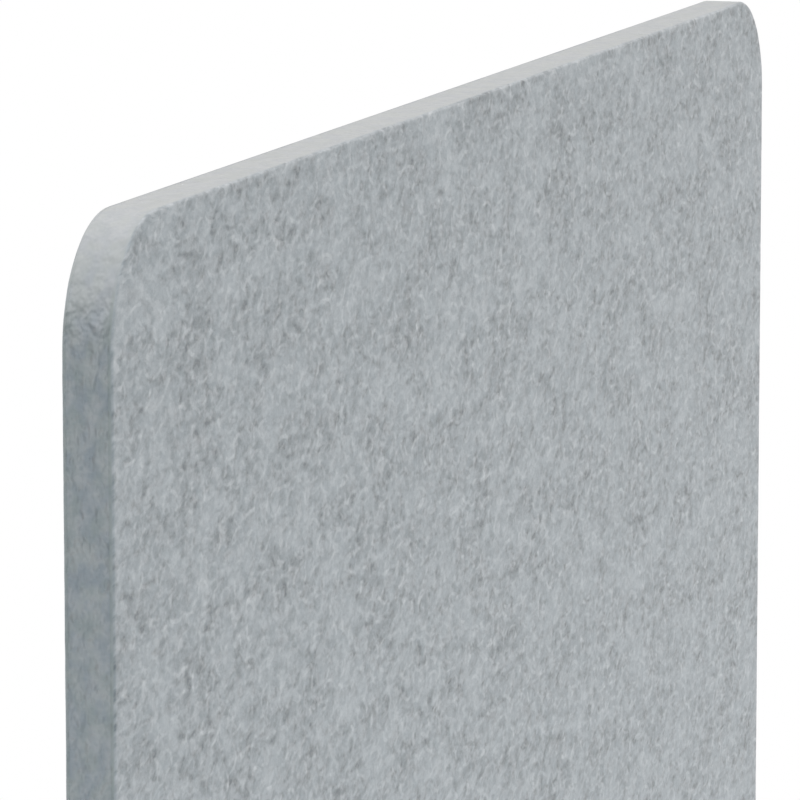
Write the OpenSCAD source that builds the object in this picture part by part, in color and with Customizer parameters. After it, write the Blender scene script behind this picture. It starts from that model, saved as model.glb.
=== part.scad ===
// Free-standing acoustic divider screen: one felt-faced board with round corners,
// carried by two flat tube feet with a panel channel and screw-in levelling glides.
// Millimetres. X runs along the board, -Y is its front, Z is up from the floor.

/* [Board] */
// Width of the board
board_w = 1200; // [700:50:1800]
// Height of the board's top edge above the floor
screen_h = 1400; // [900:50:1800]
// Thickness of the whole board
board_t = 25; // [18:1:40]
// Thickness of each felt facing
facing_t = 2.5; // [1.5:0.5:4]
// Radius of the board's four corners
corner_r = 60; // [10:5:120]

/* [Feet] */
// Distance from the board's end to the middle of a foot
foot_inset = 170; // [80:10:260]
// Length of a foot tube without its end caps
foot_len = 440; // [300:20:600]
// Width of a foot tube
tube_w = 60; // [50:2:80]
// Height of a foot tube
tube_h = 25; // [24:1:40]
// Wall of a foot tube
tube_wall = 2; // [1.5:0.5:3]
// Outer corner radius of a foot tube
tube_r = 4; // [3.5:0.5:8]

/* [End caps] */
// Thickness of the cap's face outside the tube
cap_face = 3; // [2:0.5:5]
// Depth of the cap's plug in the tube
cap_depth = 12; // [8:1:14]
// Wall of the cap's plug
cap_wall = 2.5; // [1.5:0.5:3]

/* [Panel channel] */
// Sheet thickness of the channel
channel_wall = 3; // [3:0.5:5]
// Height of the channel's cheeks above the foot tube
cheek_h = 160; // [100:10:240]
// Radius of the cheeks' upper corners
cheek_r = 14; // [4:1:24]

/* [Panel bolts] */
// Outside diameter of the barrel nut
barrel_d = 8; // [7.5:0.5:10]
// Diameter of the bolt that screws into it
bolt_d = 6; // [4:0.5:6]
// Diameter of both flat heads
bolt_head_d = 14; // [12:1:20]
// Thickness of both flat heads
bolt_head_t = 2; // [1.5:0.5:4]
// Height of the lower bolt above the board's lower edge
bolt_low = 35; // [20:1:45]
// Distance of the upper bolt below the cheeks' upper edge
bolt_top = 42; // [24:1:55]
// Hexagon socket of the bolts, across flats
bolt_key = 4; // [3:0.5:5]

/* [Channel screws] */
// Diameter of the countersunk screws in the channel's floor
screw_d = 5; // [4:0.5:5]
// Diameter of the countersunk head
screw_head_d = 10; // [8:0.5:11]
// Height of the countersunk head
screw_head_h = 2.8; // [2:0.1:2.9]
// Distance between the two screws of a foot
screw_pitch = 34; // [26:1:36]
// Weld nut for the screws, across flats
screw_nut_af = 8; // [8:0.5:11]
// Height of that nut
screw_nut_h = 4; // [3:0.5:5]
// Hexagon socket of the screws, across flats
screw_key = 3; // [2.5:0.5:3]

/* [Levelling glides] */
// Thread diameter of the glide stem
stem_d = 8; // [6:1:10]
// Distance from the tube's end to the glide's axis
glide_inset = 30; // [26:1:60]
// Weld nut for the stem, across flats
glide_nut_af = 13; // [12.5:0.5:17]
// Height of that nut
glide_nut_h = 6.5; // [4:0.5:7]
// Spanner collar of the stem, across flats
collar_af = 13; // [12:1:17]
// Thickness of the collar
collar_t = 4; // [3:0.5:6]
// Diameter of the glide pad
pad_d = 32; // [26:1:45]
// Height of the glide pad
pad_h = 9; // [8:0.5:14]
// Diameter of the stem's button, which turns in the pad
button_d = 12; // [10:0.5:14]
// Thickness of the button
button_t = 3; // [2:0.5:3.5]
// Thickness of the pad's floor under the button
pad_floor = 2; // [1.5:0.5:2.5]
// Thickness of the non-slip sole
sole_t = 2; // [1:0.5:4]
// How far a glide screws in from its rest height
glide_in = 4; // [2:0.5:5]
// How far a glide screws out from its rest height
glide_out = 8; // [4:0.5:8]

/* [Hidden] */

$fn = 64;
// Running clearance round a screw, button or stem
running_gap = 0.05;
// Clearance of a bolt or screw hole, round the shank
hole_gap = 0.25;
// Clearance between the channel and the board's faces
board_gap = 0.3;
// Clearance of the cap's plug in the tube
plug_gap = 0.15;
// Clearance between a pad and the collar above it, and above and below the button
swivel_gap = 0.3;
// Space that is left when a glide is screwed in fully
stop_gap = 0.7;
// Length by which a cut runs past the body that it cuts
cut_over = 1;
// Length by which a screw stands out of its nut
screw_end = 1.5;
// Wall left between a barrel's open end and the channel's outer face
barrel_short = 1;
// How far the bolt reaches into its barrel, as a share of the barrel's length
bolt_reach_share = 0.65;
// Free depth of the barrel's bore beyond the bolt's end
bore_spare = 1.5;
// Depth of a hexagon socket, as a share of its width
key_depth_share = 0.35;
// Neck of the stem between collar and button, as a share of the stem's diameter
neck_share = 0.75;
// Taper of the pad from its sole to its top, as a share of the pad's diameter
pad_top_share = 0.8;
// Straight rim of the pad, as a share of its height
pad_rim_share = 0.35;
// Chamfer of the stem's upper end, as a share of its diameter
stem_tip_share = 0.12;

pad_z = sole_t;
collar_z = pad_z + pad_h + swivel_gap;
tube_z = collar_z + collar_t + glide_in + stop_gap;
channel_z = tube_z + tube_h;
board_z = channel_z + channel_wall;
board_h = screen_h - board_z;
core_t = board_t - 2 * facing_t;
foot_x = board_w / 2 - foot_inset;
channel_inner = board_t + 2 * board_gap;
channel_outer = channel_inner + 2 * channel_wall;
glide_y = foot_len / 2 - glide_inset;
barrel_hole_d = barrel_d + 2 * hole_gap;
barrel_len = channel_outer - barrel_short;
bolt_len = bolt_reach_share * barrel_len;
bolt_z = [board_z + bolt_low, channel_z + cheek_h - bolt_top];
tube_inner_r = max(tube_r - tube_wall, tube_wall / 4);

// Outline of a rectangle with round corners, centred
module round_rect(w, h, r) {
    square([w - 2 * r, h], center = true);
    square([w, h - 2 * r], center = true);
    for (sx = [-1, 1], sy = [-1, 1])
        translate([sx * (w / 2 - r), sy * (h / 2 - r)]) circle(r);
}

// Hexagonal prism standing on z = 0, given across its flats
module hex_prism(af, h) {
    cylinder(d = af / cos(30), h = h, $fn = 6);
}

// Everything inside is turned so that its +Z points along -Y
module towards_front() {
    rotate([90, 0, 0]) children();
}

// The four bolt axes through the board, as cylinders of diameter d and length len
module bolt_axes(d, len) {
    for (side = [-1, 1], z = bolt_z) translate([side * foot_x, 0, z])
        towards_front() cylinder(d = d, h = len, center = true);
}

// One layer of the board, between y = from and y = from + t
module board_layer(from, t) {
    difference() {
        translate([0, from + t, board_z + board_h / 2])
            towards_front() linear_extrude(t) round_rect(board_w, board_h, corner_r);
        bolt_axes(barrel_hole_d, board_t + 2 * cut_over);
    }
}

module core_board() {
    color([0.58, 0.60, 0.61]) board_layer(-core_t / 2, core_t);
}

module front_felt() {
    color([0.65, 0.67, 0.68]) board_layer(-board_t / 2, facing_t);
}

module rear_felt() {
    color([0.65, 0.67, 0.68]) board_layer(core_t / 2, facing_t);
}

// Rectangular tube along Y with holes for the channel screws and the glide stems
module foot_tube() {
    color([0.20, 0.21, 0.22]) translate([0, 0, tube_z]) difference() {
        translate([0, foot_len / 2, tube_h / 2]) towards_front() linear_extrude(foot_len)
            difference() {
                round_rect(tube_w, tube_h, tube_r);
                round_rect(tube_w - 2 * tube_wall, tube_h - 2 * tube_wall, tube_inner_r);
            }
        for (s = [-1, 1]) {
            translate([s * screw_pitch / 2, 0, tube_h / 2])
                cylinder(d = screw_d + 2 * hole_gap, h = tube_h);
            translate([0, s * glide_y, -tube_h / 2])
                cylinder(d = stem_d + 2 * hole_gap, h = tube_h);
        }
    }
}

// Moulded end cap; side is -1 at the front end and 1 at the rear end
module end_cap(side) {
    plug_w = tube_w - 2 * tube_wall - 2 * plug_gap;
    plug_h = tube_h - 2 * tube_wall - 2 * plug_gap;
    color([0.16, 0.17, 0.18]) translate([0, side * foot_len / 2, tube_z + tube_h / 2])
        rotate([side * 90, 0, 0]) {
            translate([0, 0, -cap_face]) linear_extrude(cap_face)
                round_rect(tube_w, tube_h, tube_r);
            linear_extrude(cap_depth) difference() {
                round_rect(plug_w, plug_h, tube_inner_r);
                round_rect(plug_w - 2 * cap_wall, plug_h - 2 * cap_wall, tube_inner_r / 2);
            }
        }
}

// Cross-section of the folded channel, standing on y = 0, with round outer bends
module channel_section() {
    difference() {
        union() {
            translate([-channel_outer / 2, channel_wall])
                square([channel_outer, cheek_h - channel_wall]);
            translate([-channel_inner / 2, 0]) square([channel_inner, channel_wall]);
            for (s = [-1, 1]) translate([s * channel_inner / 2, channel_wall])
                circle(channel_wall);
        }
        translate([-channel_inner / 2, channel_wall]) square([channel_inner, cheek_h]);
    }
}

// Outline of a cheek seen from the front, with round upper corners
module cheek_outline() {
    translate([-tube_w / 2, 0]) square([tube_w, cheek_h - cheek_r]);
    translate([-tube_w / 2 + cheek_r, 0]) square([tube_w - 2 * cheek_r, cheek_h]);
    for (s = [-1, 1]) translate([s * (tube_w / 2 - cheek_r), cheek_h - cheek_r])
        circle(cheek_r);
}

// Folded steel channel that stands on the foot and holds the board between its cheeks
module channel() {
    color([0.20, 0.21, 0.22]) difference() {
        translate([0, 0, channel_z]) intersection() {
            translate([-tube_w / 2, 0, 0]) rotate([90, 0, 90])
                linear_extrude(tube_w) channel_section();
            translate([0, channel_outer, 0]) towards_front()
                linear_extrude(2 * channel_outer) cheek_outline();
        }
        for (z = bolt_z) translate([0, 0, z]) towards_front()
            cylinder(d = barrel_hole_d, h = channel_outer + 2 * cut_over, center = true);
        for (s = [-1, 1]) translate([s * screw_pitch / 2, 0, board_z]) {
            translate([0, 0, -channel_wall - cut_over])
                cylinder(d = screw_d + 2 * hole_gap, h = channel_wall + 2 * cut_over);
            translate([0, 0, -screw_head_h]) cylinder(
                d1 = screw_d + 2 * running_gap, d2 = screw_head_d + 2 * running_gap,
                h = screw_head_h
            );
        }
    }
}

// Two countersunk screws that hold the channel to the foot
module channel_screws() {
    shank = channel_wall + tube_wall + screw_nut_h + screw_end - screw_head_h;
    color([0.72, 0.73, 0.74]) for (s = [-1, 1])
        translate([s * screw_pitch / 2, 0, board_z]) difference() {
            union() {
                translate([0, 0, -screw_head_h])
                    cylinder(d1 = screw_d, d2 = screw_head_d, h = screw_head_h);
                translate([0, 0, -screw_head_h - shank]) cylinder(d = screw_d, h = shank);
            }
            translate([0, 0, -key_depth_share * screw_key])
                hex_prism(screw_key, key_depth_share * screw_key + cut_over);
        }
}

// Two weld nuts under the foot tube's upper wall
module channel_nuts() {
    color([0.72, 0.73, 0.74]) for (s = [-1, 1])
        translate([s * screw_pitch / 2, 0, channel_z - tube_wall - screw_nut_h])
            bored_nut(screw_nut_af, screw_nut_h, screw_d);
}

// Weld nuts on the foot tube's lower wall, one for each glide stem
module glide_nuts() {
    color([0.72, 0.73, 0.74]) for (s = [-1, 1])
        translate([0, s * glide_y, tube_z + tube_wall])
            bored_nut(glide_nut_af, glide_nut_h, stem_d);
}

module bored_nut(af, h, thread_d) {
    difference() {
        hex_prism(af, h);
        translate([0, 0, -cut_over])
            cylinder(d = thread_d + 2 * running_gap, h = h + 2 * cut_over);
    }
}

// A flat round head with a hexagon socket, on z = 0 and outwards along +Z
module flat_head() {
    difference() {
        cylinder(d = bolt_head_d, h = bolt_head_t);
        translate([0, 0, bolt_head_t - key_depth_share * bolt_key])
            hex_prism(bolt_key, key_depth_share * bolt_key + cut_over);
    }
}

// Barrel nuts from the rear, through both cheeks and the board
module bolt_barrels() {
    color([0.72, 0.73, 0.74]) for (z = bolt_z)
        translate([0, channel_outer / 2, z]) rotate([-90, 0, 0]) {
            flat_head();
            translate([0, 0, -barrel_len]) difference() {
                cylinder(d = barrel_d, h = barrel_len);
                translate([0, 0, -cut_over]) cylinder(
                    d = bolt_d + 2 * running_gap,
                    h = cut_over + bolt_len - barrel_short + bore_spare
                );
            }
        }
}

// Bolts from the front, screwed into the barrels
module bolt_screws() {
    color([0.72, 0.73, 0.74]) for (z = bolt_z)
        translate([0, -channel_outer / 2, z]) towards_front() {
            flat_head();
            translate([0, 0, -bolt_len]) cylinder(d = bolt_d, h = bolt_len);
        }
}

// Glide pad, with the pocket in which the stem's button turns
module pad() {
    rim = pad_rim_share * pad_h;
    neck_d = neck_share * stem_d;
    color([0.13, 0.13, 0.14]) translate([0, 0, pad_z]) difference() {
        union() {
            cylinder(d = pad_d, h = rim);
            translate([0, 0, rim])
                cylinder(d1 = pad_d, d2 = pad_top_share * pad_d, h = pad_h - rim);
        }
        translate([0, 0, pad_floor])
            cylinder(d = button_d + 2 * running_gap, h = button_t + 2 * swivel_gap);
        translate([0, 0, pad_floor])
            cylinder(d = neck_d + 2 * swivel_gap, h = pad_h);
    }
}

module sole() {
    color([0.35, 0.35, 0.36]) cylinder(d = pad_d, h = sole_t);
}

// Glide stem: thread, spanner collar, neck, and the button in the pad
module stem() {
    top_z = tube_z + tube_wall + glide_nut_h + glide_out;
    button_z = pad_z + pad_floor + swivel_gap;
    tip = stem_tip_share * stem_d;
    color([0.72, 0.73, 0.74]) {
        translate([0, 0, button_z]) cylinder(d = button_d, h = button_t);
        translate([0, 0, button_z])
            cylinder(d = neck_share * stem_d, h = collar_z - button_z + collar_t / 2);
        translate([0, 0, collar_z]) hex_prism(collar_af, collar_t);
        translate([0, 0, collar_z])
            cylinder(d = stem_d, h = top_z - tip - collar_z);
        translate([0, 0, top_z - tip])
            cylinder(d1 = stem_d, d2 = stem_d - 2 * tip, h = tip);
    }
}

// Puts a foot's piece on the left (-1) or the right (1)
module at_foot(side) {
    translate([side * foot_x, 0, 0]) children();
}

// Puts a glide's piece at a corner of the screen
module at_glide(side, end) {
    translate([side * foot_x, end * glide_y, 0]) children();
}

core_board();
front_felt();
rear_felt();
at_foot(-1) foot_tube();  // left_foot_tube
at_foot(-1) end_cap(-1);  // left_front_cap
at_foot(-1) end_cap(1);  // left_rear_cap
at_foot(-1) channel();  // left_channel
at_foot(-1) channel_screws();  // left_channel_screws
at_foot(-1) channel_nuts();  // left_channel_nuts
at_foot(-1) bolt_barrels();  // left_bolt_barrels
at_foot(-1) bolt_screws();  // left_bolt_screws
at_foot(-1) glide_nuts();  // left_glide_nuts
at_glide(-1, -1) pad();  // left_front_pad
at_glide(-1, -1) sole();  // left_front_sole
at_glide(-1, -1) stem();  // left_front_stem
at_glide(-1, 1) pad();  // left_rear_pad
at_glide(-1, 1) sole();  // left_rear_sole
at_glide(-1, 1) stem();  // left_rear_stem
at_foot(1) foot_tube();  // right_foot_tube
at_foot(1) end_cap(-1);  // right_front_cap
at_foot(1) end_cap(1);  // right_rear_cap
at_foot(1) channel();  // right_channel
at_foot(1) channel_screws();  // right_channel_screws
at_foot(1) channel_nuts();  // right_channel_nuts
at_foot(1) bolt_barrels();  // right_bolt_barrels
at_foot(1) bolt_screws();  // right_bolt_screws
at_foot(1) glide_nuts();  // right_glide_nuts
at_glide(1, -1) pad();  // right_front_pad
at_glide(1, -1) sole();  // right_front_sole
at_glide(1, -1) stem();  // right_front_stem
at_glide(1, 1) pad();  // right_rear_pad
at_glide(1, 1) sole();  // right_rear_sole
at_glide(1, 1) stem();  // right_rear_stem
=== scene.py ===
"""Looks of the acoustic divider screen: felt facings, pressed fibre edge, coated steel feet."""

import math

import bpy
import numpy as np
from mathutils import Matrix, Vector


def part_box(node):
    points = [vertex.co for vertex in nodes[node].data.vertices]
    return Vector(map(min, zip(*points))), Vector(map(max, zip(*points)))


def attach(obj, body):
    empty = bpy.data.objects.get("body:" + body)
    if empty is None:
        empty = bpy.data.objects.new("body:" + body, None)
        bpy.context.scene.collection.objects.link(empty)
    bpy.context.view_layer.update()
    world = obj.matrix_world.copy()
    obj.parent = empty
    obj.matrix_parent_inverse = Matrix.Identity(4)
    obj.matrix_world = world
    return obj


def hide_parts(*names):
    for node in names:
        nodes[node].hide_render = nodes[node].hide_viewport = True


MM = 0.001
UP = Vector((0, 0, 1))
WHITE = (1.0, 1.0, 1.0, 1.0)

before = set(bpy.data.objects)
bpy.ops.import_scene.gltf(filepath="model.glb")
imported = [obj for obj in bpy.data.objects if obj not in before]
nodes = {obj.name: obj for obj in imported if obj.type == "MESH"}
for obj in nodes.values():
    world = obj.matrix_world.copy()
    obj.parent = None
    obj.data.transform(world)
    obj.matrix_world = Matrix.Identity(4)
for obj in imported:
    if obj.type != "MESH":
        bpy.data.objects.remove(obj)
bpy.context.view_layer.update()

# Sizes taken from the frame
core_low, core_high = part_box("core_board")
front_low, front_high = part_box("front_felt")
rear_low, rear_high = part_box("rear_felt")
BOARD_W = core_high.x - core_low.x
BOARD_H = core_high.z - core_low.z
BOARD_MID_Z = (core_high.z + core_low.z) / 2
FACING_T = front_high.y - front_low.y
CORE_T = core_high.y - core_low.y

# The board's outline, as in the frame
CORNER_R = 60 * MM
FACE_STEP = 4.2 * MM
EDGE_ROUND = 2.0 * MM
ROUND_RINGS = 5
RIM_RELIEF_SHARE = 0.2
RIM_CALM = 12 * MM
RIM_CALM_LEAST = 0.35
SHARP_FROM = math.radians(38)
FLAT_BELOW = math.radians(0.5)
BOARD_NODES = ("core_board", "front_felt", "rear_felt")


def srgb(r, g, b):
    """Linear colour of an 8-bit display colour, with alpha 1."""
    def linear(c):
        c /= 255
        return c / 12.92 if c <= 0.04045 else ((c + 0.055) / 1.055) ** 2.4
    return (linear(r), linear(g), linear(b), 1.0)


# Node graphs

class Graph:
    """Adds nodes to one material, joined by socket names."""

    def __init__(self, name):
        self.material = bpy.data.materials.new(name)
        self.material.use_nodes = True
        self.tree = self.material.node_tree
        self.tree.nodes.clear()
        self.output = self.tree.nodes.new("ShaderNodeOutputMaterial")
        place = self.add("ShaderNodeTexCoord")
        self.place = place.outputs["Object"]

    def add(self, kind, settings=None, **inputs):
        """A new node. A value is set on its socket, and a socket is linked to it."""
        made = self.tree.nodes.new(kind)
        for key, value in (settings or {}).items():
            setattr(made, key, value)
        for key, value in inputs.items():
            self.put(made.inputs[key.replace("_", " ")], value)
        return made

    def put(self, socket, value):
        """Links a socket to another one, or sets its value."""
        if isinstance(value, bpy.types.NodeSocket):
            self.tree.links.new(value, socket)
        else:
            socket.default_value = value

    def math(self, operation, a, b=0.0):
        made = self.tree.nodes.new("ShaderNodeMath")
        made.operation = operation
        self.put(made.inputs[0], a)
        self.put(made.inputs[1], b)
        return made.outputs[0]

    def vector(self, operation, a, b):
        made = self.tree.nodes.new("ShaderNodeVectorMath")
        made.operation = operation
        self.put(made.inputs[0], a)
        self.put(made.inputs[1], b)
        return made.outputs["Vector"]

    def moved(self, place, x, y):
        """place, moved in its plane, which sets a layer apart from the others."""
        return self.vector("ADD", place, (x, y, 0))

    def scaled(self, a, factor):
        """A vector times a number."""
        made = self.tree.nodes.new("ShaderNodeVectorMath")
        made.operation = "SCALE"
        self.put(made.inputs[0], a)
        made.inputs["Scale"].default_value = factor
        return made.outputs["Vector"]

    def remap(self, value, low, high, to_low=0.0, to_high=1.0):
        """value, eased from the range low..high to the range to_low..to_high."""
        made = self.add("ShaderNodeMapRange", {"interpolation_type": "SMOOTHSTEP"})
        for i, v in enumerate((value, low, high, to_low, to_high)):
            self.put(made.inputs[i], v)
        return made.outputs["Result"]

    def mix(self, share, a, b):
        """Colour a where share is 0, and colour b where it is 1."""
        made = self.add("ShaderNodeMix", {"data_type": "RGBA"})
        self.put(made.inputs["Factor"], share)
        self.put(made.inputs[6], a)
        self.put(made.inputs[7], b)
        return made.outputs[2]

    def noise(self, place, size, detail=2.0, rough=0.5):
        """Noise from 0 to 1 whose features are about as large as size, in metres."""
        made = self.add(
            "ShaderNodeTexNoise", Vector=place, Scale=1 / size, Detail=detail, Roughness=rough,
        )
        return made.outputs["Fac"]

    def swirl(self, place, size, reach):
        """place, pushed about by up to reach, in swirls of the given size."""
        made = self.add("ShaderNodeTexNoise", Vector=place, Scale=1 / size, Detail=1.0)
        centred = self.vector("SUBTRACT", made.outputs["Color"], (0.5, 0.5, 0.5))
        return self.vector("ADD", place, self.scaled(centred, 2 * reach))

    def bump(self, height, depth, share=1.0, normal=None):
        """A normal from a height, where 1 stands depth metres proud, as strong as share says."""
        made = self.add("ShaderNodeBump", Strength=share, Distance=depth, Height=height)
        if normal is not None:
            self.put(made.inputs["Normal"], normal)
        return made.outputs["Normal"]

    def surface(self, **inputs):
        """Ends the graph in one surface shader."""
        shader = self.add("ShaderNodeBsdfPrincipled")
        for key, value in inputs.items():
            self.put(shader.inputs[key.replace("_", " ")], value)
        self.put(self.output.inputs["Surface"], shader.outputs["BSDF"])
        return self.material


def total(g, values):
    """The sum of several sockets."""
    out = values[0]
    for value in values[1:]:
        out = g.math("ADD", out, value)
    return out


def at_most_one(g, values):
    """The sum of several sockets, cut off at 1."""
    return g.math("MINIMUM", total(g, values), 1.0)


# Felt patterns

FELT_STRETCH = 1.65
OFFSET_RISE = 0.37
FIBRE_SOLID_WIDTH = 0.25
FIBRE_FADED_WIDTH = 0.75
FIBRE_SOLID_LENGTH = 0.3
CURL_BREAK_MOVE = (1.7, 7.3)
CURL_BREAK_SIZE = 0.8


def felt_plane(g, offset):
    """The felt's plane in metres, drawn out along the board, where most fibres lie.

    It runs on round the board's edges, and offset sets two facings apart.
    """
    parts = g.add("ShaderNodeSeparateXYZ", Vector=g.place)
    x, y, z = (parts.outputs[axis] for axis in "XYZ")
    along = g.math("DIVIDE", g.math("ADD", x, y), FELT_STRETCH)
    joined = g.add("ShaderNodeCombineXYZ", X=along, Y=g.math("ADD", z, y))
    return g.moved(joined.outputs["Vector"], offset, offset * OFFSET_RISE)


def fibres(g, plane, cell, length, width, bend):
    """One short bent fibre in each cell of the plane, turned at random: (mask, random)."""
    cells = g.add(
        "ShaderNodeTexVoronoi", {"voronoi_dimensions": "2D", "feature": "F1"},
        Vector=plane, Scale=1 / cell, Randomness=1.0,
    )
    chance = g.add("ShaderNodeSeparateColor", Color=cells.outputs["Color"])
    local = g.vector("SUBTRACT", plane, cells.outputs["Position"])
    turned = g.add(
        "ShaderNodeVectorRotate", {"rotation_type": "Z_AXIS"},
        Vector=local, Angle=g.math("MULTIPLY", chance.outputs["Red"], math.tau),
    )
    parts = g.add("ShaderNodeSeparateXYZ", Vector=turned.outputs["Vector"])
    along, across = parts.outputs["X"], parts.outputs["Y"]
    curve = g.math("MULTIPLY", g.math("MULTIPLY", along, along), bend / cell)
    off = g.math("ABSOLUTE", g.math("SUBTRACT", across, curve))
    side = g.remap(off, width * FIBRE_SOLID_WIDTH, width * FIBRE_FADED_WIDTH, 1.0, 0.0)
    ends = g.remap(g.math("ABSOLUTE", along), length * FIBRE_SOLID_LENGTH, length / 2, 1.0, 0.0)
    return g.math("MULTIPLY", side, ends), chance.outputs["Green"]


def curls(g, place, size, width):
    """Curled strands, broken off at random: the middle contours of a noise of the given size."""
    line = g.math("ABSOLUTE", g.math("SUBTRACT", g.noise(place, size, 1.0), 0.5))
    moved = g.moved(place, CURL_BREAK_MOVE[0] * size, CURL_BREAK_MOVE[1] * size)
    part = g.remap(g.noise(moved, CURL_BREAK_SIZE * size, 1.0), 0.46, 0.62)
    return g.math("MULTIPLY", g.remap(line, 0.0, width / size, 1.0, 0.0), part)


# Looks of the felt and of the board's edge

FELT_BASE = srgb(163, 176, 184)
FELT_DARK = srgb(108, 119, 126)
FELT_LIGHT = srgb(215, 223, 229)
EDGE_BLUE = srgb(161, 174, 184)
EDGE_GREEN = srgb(164, 177, 182)
EDGE_PALE = srgb(193, 201, 206)
# Painted light: a paler, greyer tone for the upward-facing edge, standing in for the bright top light
EDGE_PAINTED_TOP_LIGHT = srgb(179, 179, 176)
PAINTED_TOP_LIGHT_SHARE = 0.35
EDGE_STREAK = 0.7
# Painted shade on the facings' rounded rims: darker and greener where they do not face upwards
PAINTED_RIM_SHADE = srgb(149, 164, 163)
PAINTED_RIM_SHADE_SHARE = 0.35
EDGE_SOFT_SIZE = 6.5 * MM
EDGE_PATCH_SIZE = 7.5 * MM
EDGE_TINT_SIZE = 8 * MM
EDGE_PALE_SHARE = 0.5
EDGE_CALM_SHARE = 0.12
EDGE_PATCH_RELIEF = 0.4
EDGE_TOP_RELIEF = 0.3
EDGE_RELIEF = 5.0 * MM

SWIRL_SIZE = 11 * MM
SWIRL_REACH = 1.6 * MM
CLOUD_SIZE = 34 * MM
CLUMP_SIZE = 11 * MM
FLECK_SIZE = 5.8 * MM
GRAIN_SIZE = 5.2 * MM
FUZZ_SIZE = 1.0 * MM
CURL_SIZES = (8.5 * MM, 11 * MM, 13.5 * MM)
LIGHT_CURL_WIDTH = 1.2 * MM
DARK_CURL_WIDTH = 1.6 * MM
ARC_LAYERS = 3
ARC_CELL = 12 * MM
ARC_LENGTH = 11 * MM
ARC_WIDTH = 1.8 * MM
ARC_BEND = 0.9
HAIR_SIZES = (2.6 * MM, 3.7 * MM, 4.8 * MM)
HAIR_WIDTH = 0.42 * MM
FACE_RELIEF = 0.38 * MM
DARK_SHARES = {"cloud": 0.36, "clump": 0.34, "fleck": 0.68, "curls": 0.12, "fuzz": 0.16}
PALE_SHARES = {"grain": 0.34, "cloud": 0.12, "curls": 0.25, "arcs": 0.25, "hairs": 0.13}
RELIEF_SHARES = {"clump": 0.6, "fleck": 0.3, "curls": 0.12, "hairs": 0.06, "fuzz": 0.1}


def edge_look(g):
    """Colour and relief of the board's edge: soft mottled streaks that run along it.

    Painted light makes the parts that face upwards paler and greyer.
    """
    streaked = g.vector("MULTIPLY", g.place, (EDGE_STREAK, 1.0, EDGE_STREAK))
    soft = g.noise(streaked, EDGE_SOFT_SIZE, 2.0, 0.55)
    patch = g.noise(streaked, EDGE_PATCH_SIZE, 2.0, 0.6)
    tint = g.noise(g.vector("ADD", streaked, (3.1, 1.7, 0.4)), EDGE_TINT_SIZE, 1.0)
    colour = g.mix(g.remap(tint, 0.38, 0.62), EDGE_BLUE, EDGE_GREEN)
    upward = facing_ways(g)[1]
    calm = g.remap(upward, 0.0, 0.6, 0.0, EDGE_CALM_SHARE)
    pale = g.remap(patch, 0.36, 0.66, calm, g.math("SUBTRACT", EDGE_PALE_SHARE, calm))
    colour = g.mix(pale, colour, EDGE_PALE)
    # Painted light: the upward-facing parts of the edge are made paler and greyer
    colour = g.mix(g.math("MULTIPLY", upward, PAINTED_TOP_LIGHT_SHARE), colour, EDGE_PAINTED_TOP_LIGHT)
    relief = g.math("ADD", soft, g.math("MULTIPLY", patch, EDGE_PATCH_RELIEF))
    return colour, relief


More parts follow.
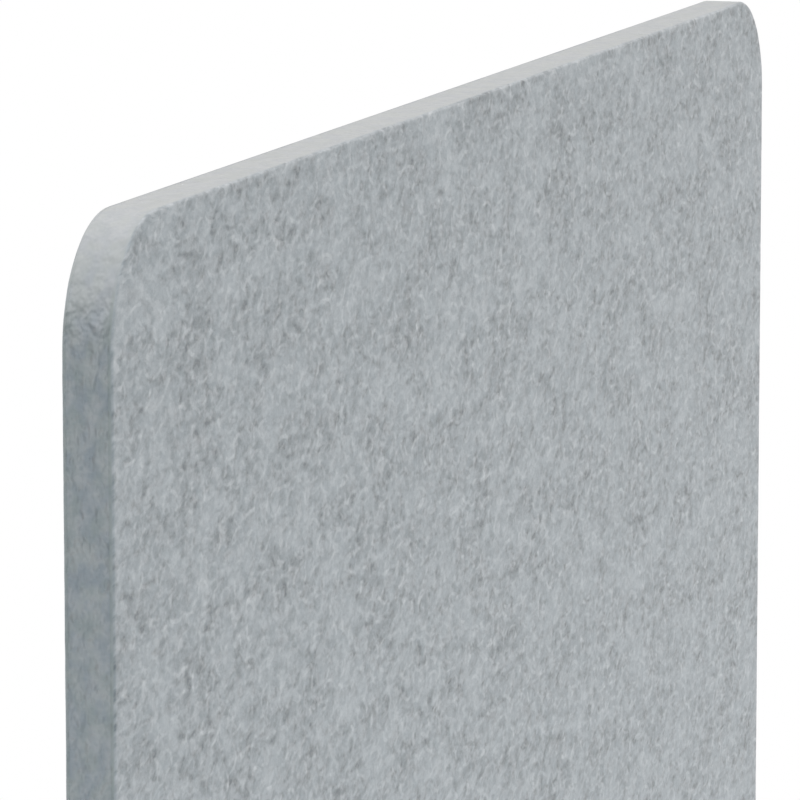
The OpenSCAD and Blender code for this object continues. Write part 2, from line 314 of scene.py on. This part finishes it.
def felt_look(g, offset):
    """Colour and relief of needled felt: cloudy greys, dark clumps and light curled fibres."""
    plane = felt_plane(g, offset)
    swirled = g.swirl(plane, SWIRL_SIZE, SWIRL_REACH)
    cloud = g.noise(plane, CLOUD_SIZE, 4.0, 0.75)
    clump = g.noise(swirled, CLUMP_SIZE)
    fleck = g.noise(g.moved(swirled, 0.7, 0.9), FLECK_SIZE, 1.0)
    grain = g.noise(swirled, GRAIN_SIZE, 1.5)
    fuzz = g.noise(plane, FUZZ_SIZE, 2.0, 0.6)

    light, dark, arcs, hairs = [], [], [], []
    for i, size in enumerate(CURL_SIZES):
        place = g.moved(swirled, 0.31 * (i + 1), 0.17 * (i + 2))
        light.append(curls(g, place, size, LIGHT_CURL_WIDTH))
        place = g.moved(swirled, -0.23 * (i + 1), 0.41 * (i + 1))
        dark.append(curls(g, place, size, DARK_CURL_WIDTH))
    for i in range(ARC_LAYERS):
        place = g.moved(swirled, 0.57 * (i + 1), -0.29 * (i + 1))
        mask, chance = fibres(g, place, ARC_CELL, ARC_LENGTH, ARC_WIDTH, ARC_BEND)
        arcs.append(g.math("MULTIPLY", mask, g.remap(chance, 0.4, 1.0)))
    for i, size in enumerate(HAIR_SIZES):
        place = g.moved(plane, 0.83 * (i + 1), 0.67 * (i + 1))
        hairs.append(curls(g, place, size, HAIR_WIDTH))
    light_curls, dark_curls, all_arcs, all_hairs = (
        at_most_one(g, layers) for layers in (light, dark, arcs, hairs)
    )

    share = DARK_SHARES
    flecks = g.remap(fleck, 0.54, 0.26, 0.0, share["fleck"])
    dark_share = at_most_one(g, [
        g.remap(cloud, 0.6, 0.34, 0.0, share["cloud"]),
        g.remap(clump, 0.5, 0.3, 0.0, share["clump"]),
        g.math("MULTIPLY", flecks, g.remap(cloud, 0.62, 0.4, 0.12, 1.0)),
        g.math("MULTIPLY", dark_curls, share["curls"]),
        g.remap(fuzz, 0.5, 0.28, 0.0, share["fuzz"]),
    ])
    share = PALE_SHARES
    grains = g.remap(grain, 0.48, 0.75, 0.0, share["grain"])
    pale_share = total(g, [
        g.math("MULTIPLY", grains, g.remap(cloud, 0.4, 0.64, 1.0, 0.5)),
        g.remap(cloud, 0.5, 0.68, 0.0, share["cloud"]),
        g.math("MULTIPLY", light_curls, share["curls"]),
        g.math("MULTIPLY", all_arcs, share["arcs"]),
        g.math("MULTIPLY", all_hairs, share["hairs"]),
    ])
    colour = g.mix(dark_share, FELT_BASE, FELT_DARK)
    colour = g.mix(pale_share, colour, FELT_LIGHT)
    share = RELIEF_SHARES
    relief = total(g, [
        g.math("MULTIPLY", g.math("SUBTRACT", clump, 0.5), share["clump"]),
        g.math("MULTIPLY", g.math("SUBTRACT", fleck, 0.5), share["fleck"]),
        g.math("MULTIPLY", g.math("ADD", light_curls, all_arcs), share["curls"]),
        g.math("MULTIPLY", dark_curls, -share["curls"]),
        g.math("MULTIPLY", all_hairs, share["hairs"]),
        g.math("MULTIPLY", fuzz, share["fuzz"]),
    ])
    return colour, relief


def facing_ways(g):
    """How far the surface faces to the front or rear, and upwards, each from 0 to 1."""
    outward = g.add("ShaderNodeSeparateXYZ", Vector=g.add("ShaderNodeTexCoord").outputs["Normal"])
    return g.math("ABSOLUTE", outward.outputs["Y"]), g.math("MAXIMUM", outward.outputs["Z"], 0.0)


def edge_bump(g, relief):
    """The edge's relief, which fades on the rounded rims and on the smoother top edge."""
    sideways, upward = facing_ways(g)
    off_rim = g.remap(sideways, 0.1, 0.6, 1.0, 0.0)
    off_top = g.remap(upward, 0.05, 0.6, 1.0, EDGE_TOP_RELIEF)
    return g.bump(relief, EDGE_RELIEF, g.math("MULTIPLY", off_rim, off_top))


def end_in_felt(g, colour, normal):
    """Ends a graph in the board's matt, slightly hairy surface."""
    return g.surface(
        Base_Color=colour, Roughness=1.0, Specular_IOR_Level=0.1, Sheen_Weight=0.5,
        Sheen_Roughness=0.5, Normal=normal,
    )


def felt_material(name, offset):
    """A facing: felt on its face, and the look of the board's edge round its rim, with painted shade
    where the rim does not face upwards.
    """
    g = Graph(name)
    colour, relief = felt_look(g, offset)
    rim_colour, rim_relief = edge_look(g)
    sideways, upward = facing_ways(g)
    # Painted shade: the rim is darkened where it does not face upwards
    shade = g.math("MULTIPLY", g.math("SUBTRACT", 1.0, upward), PAINTED_RIM_SHADE_SHARE)
    rim_colour = g.mix(shade, rim_colour, PAINTED_RIM_SHADE)
    face = g.remap(sideways, 0.35, 0.85)
    normal = g.bump(relief, FACE_RELIEF, face, edge_bump(g, rim_relief))
    return end_in_felt(g, g.mix(face, rim_colour, colour), normal)


def core_material():
    """The cut edge of the pressed fibre core."""
    g = Graph("pressed_fibre")
    colour, relief = edge_look(g)
    return end_in_felt(g, colour, edge_bump(g, relief))


# Hard materials

COAT_DARK = srgb(50, 53, 56)
COAT_LIGHT = srgb(58, 61, 64)
COAT_ROUGH = (0.45, 0.6)
PEEL_SIZE = 0.9 * MM
PEEL_DEPTH = 0.06 * MM
COAT_CLOUD_SIZE = 60 * MM
ZINC_DARK = srgb(188, 190, 191)
ZINC_LIGHT = srgb(214, 215, 214)
ZINC_ROUGH = (0.28, 0.42)
MARK_SIZE = 1.2 * MM
MARK_CROWDING = (1.0, 1.0, 5.0)
MARK_DEPTH = 0.02 * MM
CAP_COLOUR = srgb(44, 46, 48)
PAD_COLOUR = srgb(38, 39, 41)
SOLE_COLOUR = srgb(86, 87, 88)
MOULD_DEPTH = 0.05 * MM
MOULD_SHADE = 0.85
MOULD_ROUGHER = 0.12


def coated_steel():
    """Graphite powder coat with its fine orange peel."""
    g = Graph("powder_coat")
    peel = g.noise(g.place, PEEL_SIZE)
    cloud = g.noise(g.place, COAT_CLOUD_SIZE)
    return g.surface(
        Base_Color=g.mix(cloud, COAT_DARK, COAT_LIGHT), Metallic=0.0, Specular_IOR_Level=0.5,
        Roughness=g.remap(peel, 0.3, 0.7, *COAT_ROUGH), Normal=g.bump(peel, PEEL_DEPTH),
    )


def zinc_steel():
    """Bright zinc plate with faint turning marks."""
    g = Graph("zinc_plate")
    marks = g.noise(g.vector("MULTIPLY", g.place, MARK_CROWDING), MARK_SIZE, 3.0)
    return g.surface(
        Base_Color=g.mix(marks, ZINC_DARK, ZINC_LIGHT), Metallic=1.0,
        Roughness=g.remap(marks, 0.3, 0.7, *ZINC_ROUGH), Normal=g.bump(marks, MARK_DEPTH),
    )


def plastic(name, colour, grain_size, rough):
    """Moulded plastic or rubber with an eroded grain."""
    g = Graph(name)
    grain = g.noise(g.place, grain_size)
    darker = [c * MOULD_SHADE for c in colour[:3]] + [1.0]
    return g.surface(
        Base_Color=g.mix(g.remap(grain, 0.3, 0.7), darker, colour), Specular_IOR_Level=0.5,
        Roughness=g.remap(grain, 0.3, 0.7, rough, rough + MOULD_ROUGHER),
        Normal=g.bump(grain, MOULD_DEPTH),
    )


def paint(obj, material):
    """Gives an object one material."""
    obj.data.materials.clear()
    obj.data.materials.append(material)


# Board meshes

SHORTER_BY = 0.4 * CORNER_R
WAVE_SIZE = 9 * MM
WAVE_DEPTH = 0.16 * MM
RIPPLE_SIZE = 5 * MM
RIPPLE_DEPTH = 0.10 * MM
DEEPEST = WAVE_DEPTH + RIPPLE_DEPTH
CORE_STEP = 3 * MM
CORE_ROWS = 11
STREAK_SIZE = 24 * MM
STREAK_CROWDING = 8
STREAK_DEPTH = 0.12 * MM


def smooth_field(points, cell, seed):
    """Smooth random heights from -1 to 1 at 2D points, with features of the given size."""
    rng = np.random.default_rng(seed)
    low = points.min(axis=0) - cell
    span = ((points.max(axis=0) - low) / cell).astype(int) + 3
    lattice = rng.uniform(-1, 1, span)
    scaled = (points - low) / cell
    base = scaled.astype(int)
    part = scaled - base
    part = part * part * (3 - 2 * part)
    ix, iy = base[:, 0], base[:, 1]
    tx, ty = part[:, 0], part[:, 1]
    near = lattice[ix, iy] * (1 - tx) + lattice[ix + 1, iy] * tx
    far = lattice[ix, iy + 1] * (1 - tx) + lattice[ix + 1, iy + 1] * tx
    return near * (1 - ty) + far * ty


def outline(half_w, half_h, radius, nx, nz):
    """Points and outward normals round a rectangle with round corners, in four sides.

    The sides meet in the middle of the corners. They run up the right, left along the top,
    down the left and right along the bottom, with nz or nx steps each.
    """
    arc = radius * math.pi / 4
    points, normals = [], []
    for turn, (half_run, half_out, steps) in enumerate(
        [(half_h, half_w, nz), (half_w, half_h, nx), (half_h, half_w, nz), (half_w, half_h, nx)]
    ):
        straight = 2 * (half_run - radius)
        for i in range(steps):
            s = i / steps * (straight + 2 * arc)
            if s < arc:
                angle = s / radius - math.pi / 4
                centre = -straight / 2
            elif s > arc + straight:
                angle = (s - arc - straight) / radius
                centre = straight / 2
            else:
                angle = 0.0
                centre = s - arc - straight / 2
            out, run = math.cos(angle), math.sin(angle)
            place = (half_out - radius + radius * out, centre + radius * run)
            c, s90 = [(1, 0), (0, 1), (-1, 0), (0, -1)][turn]
            points.append((place[0] * c - place[1] * s90, place[0] * s90 + place[1] * c))
            normals.append((out * c - run * s90, out * s90 + run * c))
    return np.array(points), np.array(normals)


def face_grid(loop, nx, nz):
    """The points inside a four-sided loop, blended from its sides: array (nx + 1, nz + 1, 2)."""
    right = loop[: nz + 1]
    top = loop[nz: nz + nx + 1][::-1]
    left = loop[nz + nx: 2 * nz + nx + 1][::-1]
    bottom = np.vstack([loop[2 * nz + nx:], loop[:1]])
    u = np.linspace(0, 1, nx + 1)[:, None, None]
    v = np.linspace(0, 1, nz + 1)[None, :, None]
    across = (1 - u) * left[None, :, :] + u * right[None, :, :]
    upward = (1 - v) * bottom[:, None, :] + v * top[:, None, :]
    corners = (
        (1 - u) * (1 - v) * bottom[0] + u * (1 - v) * bottom[-1]
        + (1 - u) * v * top[0] + u * v * top[-1]
    )
    return across + upward - corners


def mesh_object(name, points, faces):
    """A smooth-shaded object from points in metres and lists of corner numbers."""
    mesh = bpy.data.meshes.new(name)
    mesh.from_pydata([tuple(p) for p in points], [], faces)
    mesh.validate()
    mesh.shade_smooth()
    mesh.set_sharp_from_angle(angle=SHARP_FROM)
    obj = bpy.data.objects.new(name, mesh)
    bpy.context.scene.collection.objects.link(obj)
    return obj


def facing(name, low_y, high_y, side, seed):
    """A felt facing with a rounded outer rim and felt relief. side is -1 in front, 1 behind."""
    nx = round((BOARD_W - SHORTER_BY) / FACE_STEP)
    nz = round((BOARD_H - SHORTER_BY) / FACE_STEP)
    half_w, half_h = BOARD_W / 2, BOARD_H / 2
    inner, normals = outline(half_w - EDGE_ROUND, half_h - EDGE_ROUND, CORNER_R - EDGE_ROUND, nx, nz)
    grid = face_grid(inner, nx, nz)
    outer_y, inner_y = (low_y, high_y) if side < 0 else (high_y, low_y)

    flat = grid.reshape(-1, 2)
    inset = np.minimum(half_w - np.abs(flat[:, 0]), half_h - np.abs(flat[:, 1]))
    calm = np.clip(inset / RIM_CALM, RIM_CALM_LEAST, 1)
    waves = WAVE_DEPTH * smooth_field(flat, WAVE_SIZE, seed)
    ripples = RIPPLE_DEPTH * smooth_field(flat, RIPPLE_SIZE, seed + 1)
    sunk = np.abs((waves + ripples) * calm - DEEPEST)
    face_y = outer_y - side * sunk
    points = [np.column_stack([flat[:, 0], face_y, flat[:, 1] + BOARD_MID_Z])]

    def number(i, k):
        return i * (nz + 1) + k

    faces = []
    for i in range(nx):
        for k in range(nz):
            quad = [number(i, k), number(i + 1, k), number(i + 1, k + 1), number(i, k + 1)]
            faces.append(quad if side < 0 else quad[::-1])

    rim = (
        [number(nx, k) for k in range(nz)] + [number(nx - i, nz) for i in range(nx)]
        + [number(0, nz - k) for k in range(nz)] + [number(i, 0) for i in range(nx)]
    )
    count = len(rim)
    last = rim
    start = len(flat)
    rim_sunk = sunk[rim]
    depths = [math.pi / 2 * (j + 1) / ROUND_RINGS for j in range(ROUND_RINGS)]
    rings = [(EDGE_ROUND * math.sin(a), EDGE_ROUND * (1 - math.cos(a))) for a in depths]
    rings.append((EDGE_ROUND, FACING_T))
    for j, (out, deep) in enumerate(rings):
        share = 1 - (j + 1) / len(rings)
        drawn_in = RIM_RELIEF_SHARE * rim_sunk[:, None] * min(1, 2 * share)
        spread = inner + normals * (out - drawn_in)
        y = outer_y - side * (deep + rim_sunk * share)
        if j == len(rings) - 1:
            y = np.full(count, inner_y)
        points.append(np.column_stack([spread[:, 0], y, spread[:, 1] + BOARD_MID_Z]))
        ring = list(range(start, start + count))
        for i in range(count):
            n = (i + 1) % count
            quad = [last[i], last[n], ring[n], ring[i]]
            faces.append(quad[::-1] if side < 0 else quad)
        last = ring
        start += count
    faces.append(last if side < 0 else last[::-1])
    return mesh_object(name, np.vstack(points), faces)


def core(name, seed):
    """The core board, with streaks of relief along its edge."""
    nx = round((BOARD_W - SHORTER_BY) / CORE_STEP)
    nz = round((BOARD_H - SHORTER_BY) / CORE_STEP)
    loop, normals = outline(BOARD_W / 2, BOARD_H / 2, CORNER_R, nx, nz)
    count = len(loop)
    run = np.arange(count) * CORE_STEP
    points, faces = [], []
    for row in range(CORE_ROWS):
        y = core_low.y + CORE_T * row / (CORE_ROWS - 1)
        where = np.column_stack([run, np.full(count, y * STREAK_CROWDING)])
        sink = (0.5 + 0.5 * smooth_field(where, STREAK_SIZE, seed + row)) * STREAK_DEPTH
        place = loop - normals * sink[:, None]
        points.append(np.column_stack([place[:, 0], np.full(count, y), place[:, 1] + BOARD_MID_Z]))
        if row:
            first = (row - 1) * count
            for i in range(count):
                n = (i + 1) % count
                faces.append([first + i, first + n, first + count + n, first + count + i])
    faces.append(list(range(count))[::-1])
    faces.append(list(range((CORE_ROWS - 1) * count, CORE_ROWS * count)))
    return mesh_object(name, np.vstack(points), [f[::-1] for f in faces])


# Glide stems: the frame's sizes, with the thread cut

STEM_STEPS = 36
BUTTON_R = 6 * MM
BUTTON_T = 3 * MM
BUTTON_ROUND = 0.4 * MM
NECK_R = 3 * MM
COLLAR_RISE = 7 * MM
COLLAR_AF = 13 * MM
COLLAR_T = 4 * MM
COLLAR_CHAMFER = 0.7 * MM
COLLAR_FACE_SHARE = 0.97
CHAMFER_STEPS = 4
THREAD_R = 4 * MM
THREAD_PITCH = 1.25 * MM
THREAD_DEPTH = 0.61 * THREAD_PITCH
THREAD_RUN_IN = 1.0 * MM
CREST_SHARE = 0.125
ROOT_SHARE = 0.25
ROWS_PER_TURN = 12
TIP_CHAMFER = 0.96 * MM


def thread_radius(angle, z):
    """Radius of a right-handed thread at an angle and a height."""
    phase = (z / THREAD_PITCH - angle / math.tau) % 1.0
    from_crest = 2 * np.abs(phase - 0.5)
    fall = np.clip((from_crest - CREST_SHARE) / (1 - CREST_SHARE - ROOT_SHARE), 0, 1)
    return THREAD_R - THREAD_DEPTH * fall


def stem_rows(low, high):
    """Rows (height, radii round the axis) of a stem: button, neck, spanner collar and thread."""
    angle = np.arange(STEM_STEPS) * math.tau / STEM_STEPS
    button_top = low + BUTTON_T
    collar_low = low + COLLAR_RISE
    collar_high = collar_low + COLLAR_T
    corner_r = COLLAR_AF / 2 / math.cos(math.pi / 6)
    face_r = COLLAR_AF / 2 * COLLAR_FACE_SHARE
    hexagon = COLLAR_AF / 2 / np.cos(angle % (math.pi / 3) - math.pi / 6)
    plain = [
        (low, BUTTON_R - BUTTON_ROUND), (low + BUTTON_ROUND, BUTTON_R),
        (button_top - BUTTON_ROUND, BUTTON_R), (button_top, BUTTON_R - BUTTON_ROUND),
        (button_top, NECK_R), (collar_low, NECK_R),
    ]
    rows = [(z, np.full(STEM_STEPS, r)) for z, r in plain]
    chamfer = []
    for i in range(CHAMFER_STEPS + 1):
        share = i / CHAMFER_STEPS
        limit = face_r + share * (corner_r - face_r)
        chamfer.append((share * COLLAR_CHAMFER, np.minimum(hexagon, limit)))
    rows += [(collar_low + z, r) for z, r in chamfer]
    rows += [(collar_high - z, r) for z, r in reversed(chamfer)]
    root = THREAD_R - THREAD_DEPTH
    rows.append((collar_high, np.full(STEM_STEPS, root)))
    count = round((high - collar_high) / THREAD_PITCH * ROWS_PER_TURN)
    for i in range(1, count + 1):
        z = collar_high + (high - collar_high) * i / count
        run_in = min(1.0, (z - collar_high) / THREAD_RUN_IN)
        cut = root + (thread_radius(angle, z) - root) * run_in
        rows.append((z, np.minimum(cut, THREAD_R - TIP_CHAMFER + high - z)))
    return rows


def build_stem(side, metal):
    """The stem of one glide, which turns on its spindle. side is such as left_front."""
    low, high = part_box(f"{side}_stem")
    angle = np.arange(STEM_STEPS) * math.tau / STEM_STEPS
    points, faces = [], []
    for row, (z, radius) in enumerate(stem_rows(low.z, high.z)):
        x = (low.x + high.x) / 2 + radius * np.cos(angle)
        y = (low.y + high.y) / 2 + radius * np.sin(angle)
        points.append(np.column_stack([x, y, np.full(STEM_STEPS, z)]))
        first = (row - 1) * STEM_STEPS
        for i in range(STEM_STEPS if row else 0):
            n = (i + 1) % STEM_STEPS
            faces.append([first + i, first + n, first + STEM_STEPS + n, first + STEM_STEPS + i])
    last = (len(points) - 1) * STEM_STEPS
    faces.append(list(range(STEM_STEPS))[::-1])
    faces.append([last + i for i in range(STEM_STEPS)])
    stem = mesh_object(f"{side}_threaded_stem", np.vstack(points), faces)
    paint(stem, metal)
    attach(stem, f"{side}_spindle")
    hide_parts(f"{side}_stem")


# Pieces

FRONT_SEED = 11
REAR_SEED = 23
CORE_SEED = 37
FRONT_OFFSET = 1.0
REAR_OFFSET = 4.0
WELD_WITHIN = 0.01 * MM
BEVEL_STEPS = 2
SMALL_PART_EDGE = 0.25 * MM


def build_board():
    """The two felt facings and the core, in the place of their nodes."""
    front = facing("front_felt_sheet", front_low.y, front_high.y, -1, FRONT_SEED)
    rear = facing("rear_felt_sheet", rear_low.y, rear_high.y, 1, REAR_SEED)
    middle = core("core_edge", CORE_SEED)
    paint(front, felt_material("front_felt", FRONT_OFFSET))
    paint(rear, felt_material("rear_felt", REAR_OFFSET))
    paint(middle, core_material())
    for piece, node, slot in (
        (front, "front_felt", "felt_facing"),
        (rear, "rear_felt", "felt_facing"),
        (middle, "core_board", "felt_core"),
    ):
        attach(piece, "screen")
        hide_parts(node)


def round_edges(obj, width):
    """Rounds the sharp edges of a hard node with modifiers, which leave its mesh as it is."""
    seams = obj.modifiers.new("join_seams", "WELD")
    seams.merge_threshold = WELD_WITHIN
    facets = obj.modifiers.new("join_facets", "DECIMATE")
    facets.decimate_type = "DISSOLVE"
    facets.angle_limit = FLAT_BELOW
    rounded = obj.modifiers.new("rounded", "BEVEL")
    rounded.width = width
    rounded.segments = BEVEL_STEPS
    rounded.limit_method = "ANGLE"
    rounded.angle_limit = SHARP_FROM
    obj.modifiers.new("even_shading", "WEIGHTED_NORMAL")


def paint_frame_nodes(metal):
    """Gives each hard node its material and its edge rounding, by the end of its name."""
    coated = coated_steel()
    cap = plastic("cap_plastic", CAP_COLOUR, grain_size=0.7 * MM, rough=0.5)
    pad = plastic("pad_plastic", PAD_COLOUR, grain_size=0.8 * MM, rough=0.45)
    sole = plastic("sole_rubber", SOLE_COLOUR, grain_size=0.5 * MM, rough=0.8)
    looks = {
        "foot_tube": (coated, 0.5 * MM),
        "channel": (coated, 0.4 * MM),
        "cap": (cap, 0.6 * MM),
        "pad": (pad, 0.5 * MM),
        "sole": (sole, 0.3 * MM),
    }
    for name, obj in nodes.items():
        if name in BOARD_NODES:
            continue
        found = [look for ending, look in looks.items() if name.endswith(ending)]
        material, edge = found[0] if found else (metal, SMALL_PART_EDGE)
        paint(obj, material)
        round_edges(obj, edge)


def build_stems(metal):
    """The threaded stems of all four glides."""
    for side in ("left", "right"):
        for end in ("front", "rear"):
            build_stem(f"{side}_{end}", metal)


# Stage

FLOOR_R = 3.7
FLOOR_FADES_FROM = 2.0
FLOOR_FADES_TO = 0.96 * FLOOR_R
FLOOR_STEPS = 96
FLOOR_CLOUD_SIZE = 0.4
FLOOR_DARK = srgb(231, 238, 241)
FLOOR_LIGHT = srgb(235, 241, 244)


def build_floor():
    """A pale round floor that fades out towards its rim."""
    g = Graph("studio_floor")
    distance = g.add("ShaderNodeVectorMath", {"operation": "LENGTH"})
    g.put(distance.inputs[0], g.place)
    fade = g.remap(distance.outputs["Value"], FLOOR_FADES_FROM, FLOOR_FADES_TO)
    cloud = g.noise(g.place, FLOOR_CLOUD_SIZE)
    matt = g.add("ShaderNodeBsdfDiffuse", Color=g.mix(cloud, FLOOR_DARK, FLOOR_LIGHT))
    clear = g.add("ShaderNodeBsdfTransparent")
    mixed = g.add("ShaderNodeMixShader")
    g.put(mixed.inputs[0], fade)
    g.put(mixed.inputs[1], matt.outputs[0])
    g.put(mixed.inputs[2], clear.outputs[0])
    g.put(g.output.inputs["Surface"], mixed.outputs[0])
    angles = [math.tau * i / FLOOR_STEPS for i in range(FLOOR_STEPS)]
    ring = [(FLOOR_R * math.cos(a), FLOOR_R * math.sin(a), 0) for a in angles]
    floor = mesh_object("studio_floor", ring, [list(range(FLOOR_STEPS))])
    paint(floor, g.material)


WORLD_LEVEL = 0.416
WORLD_COLOUR = (1.03, 1.0, 0.965, 1.0)
TOP_SUN = 2.61
TOP_COLOUR = (1.07, 1.0, 0.98)
TOP_WAY = (0.0, 0.0, -1.0)
FRONT_SUN = 0.19
FRONT_WAY = (0.0, 1.0, -0.3)
SUN_SPREAD = math.radians(40)


def build_light():
    """An even soft world that looks white itself, a wide top light and a faint front light."""
    world = bpy.data.worlds.new("studio")
    bpy.context.scene.world = world
    world.use_nodes = True
    tree = world.node_tree
    tree.nodes.clear()
    path = tree.nodes.new("ShaderNodeLightPath")
    seen = path.outputs["Is Camera Ray"]
    for ray in ("Is Glossy Ray", "Is Transmission Ray"):
        either = tree.nodes.new("ShaderNodeMath")
        either.operation = "MAXIMUM"
        tree.links.new(seen, either.inputs[0])
        tree.links.new(path.outputs[ray], either.inputs[1])
        seen = either.outputs[0]
    soft = tree.nodes.new("ShaderNodeBackground")
    soft.inputs["Color"].default_value = WORLD_COLOUR
    soft.inputs["Strength"].default_value = WORLD_LEVEL
    plain = tree.nodes.new("ShaderNodeBackground")
    plain.inputs["Color"].default_value = WHITE
    plain.inputs["Strength"].default_value = 1.0
    mixed = tree.nodes.new("ShaderNodeMixShader")
    out = tree.nodes.new("ShaderNodeOutputWorld")
    tree.links.new(seen, mixed.inputs[0])
    tree.links.new(soft.outputs[0], mixed.inputs[1])
    tree.links.new(plain.outputs[0], mixed.inputs[2])
    tree.links.new(mixed.outputs[0], out.inputs["Surface"])
    for name, strength, colour, towards in (
        ("top_light", TOP_SUN, TOP_COLOUR, TOP_WAY),
        ("front_light", FRONT_SUN, WHITE[:3], FRONT_WAY),
    ):
        lamp = bpy.data.lights.new(name, "SUN")
        lamp.energy = strength
        lamp.color = colour
        lamp.angle = SUN_SPREAD
        obj = bpy.data.objects.new(name, lamp)
        obj.rotation_euler = Vector(towards).to_track_quat("-Z", "Y").to_euler()
        bpy.context.scene.collection.objects.link(obj)


# Camera: the photograph's view of the board's upper left corner

CAMERA_LENS = 270.0
CAMERA_PLACE = Vector((-3.09749, -0.93287, 1.74186))
CAMERA_YAW = math.radians(17.457)
CAMERA_PITCH = math.radians(9.0071)
CAMERA_ROLL = math.radians(-0.0322)
CAMERA_REACH = 100


def build_camera():
    """A long lens far off, which keeps the board's upright edges nearly parallel."""
    data = bpy.data.cameras.new("camera")
    data.lens = CAMERA_LENS
    data.clip_end = CAMERA_REACH
    camera = bpy.data.objects.new("camera", data)
    bpy.context.scene.collection.objects.link(camera)
    bpy.context.scene.camera = camera
    forward = Vector((
        math.cos(CAMERA_YAW) * math.cos(CAMERA_PITCH),
        math.sin(CAMERA_YAW) * math.cos(CAMERA_PITCH),
        -math.sin(CAMERA_PITCH),
    ))
    right = forward.cross(UP).normalized()
    upward = right.cross(forward)
    tilted = math.cos(CAMERA_ROLL) * right + math.sin(CAMERA_ROLL) * upward
    raised = -math.sin(CAMERA_ROLL) * right + math.cos(CAMERA_ROLL) * upward
    turn = Matrix((tilted, raised, -forward)).transposed()
    camera.matrix_world = Matrix.Translation(CAMERA_PLACE) @ turn.to_4x4()


build_board()
zinc = zinc_steel()
paint_frame_nodes(zinc)
build_stems(zinc)
build_floor()
build_light()
build_camera()

bpy.context.scene.view_settings.view_transform = "Standard"
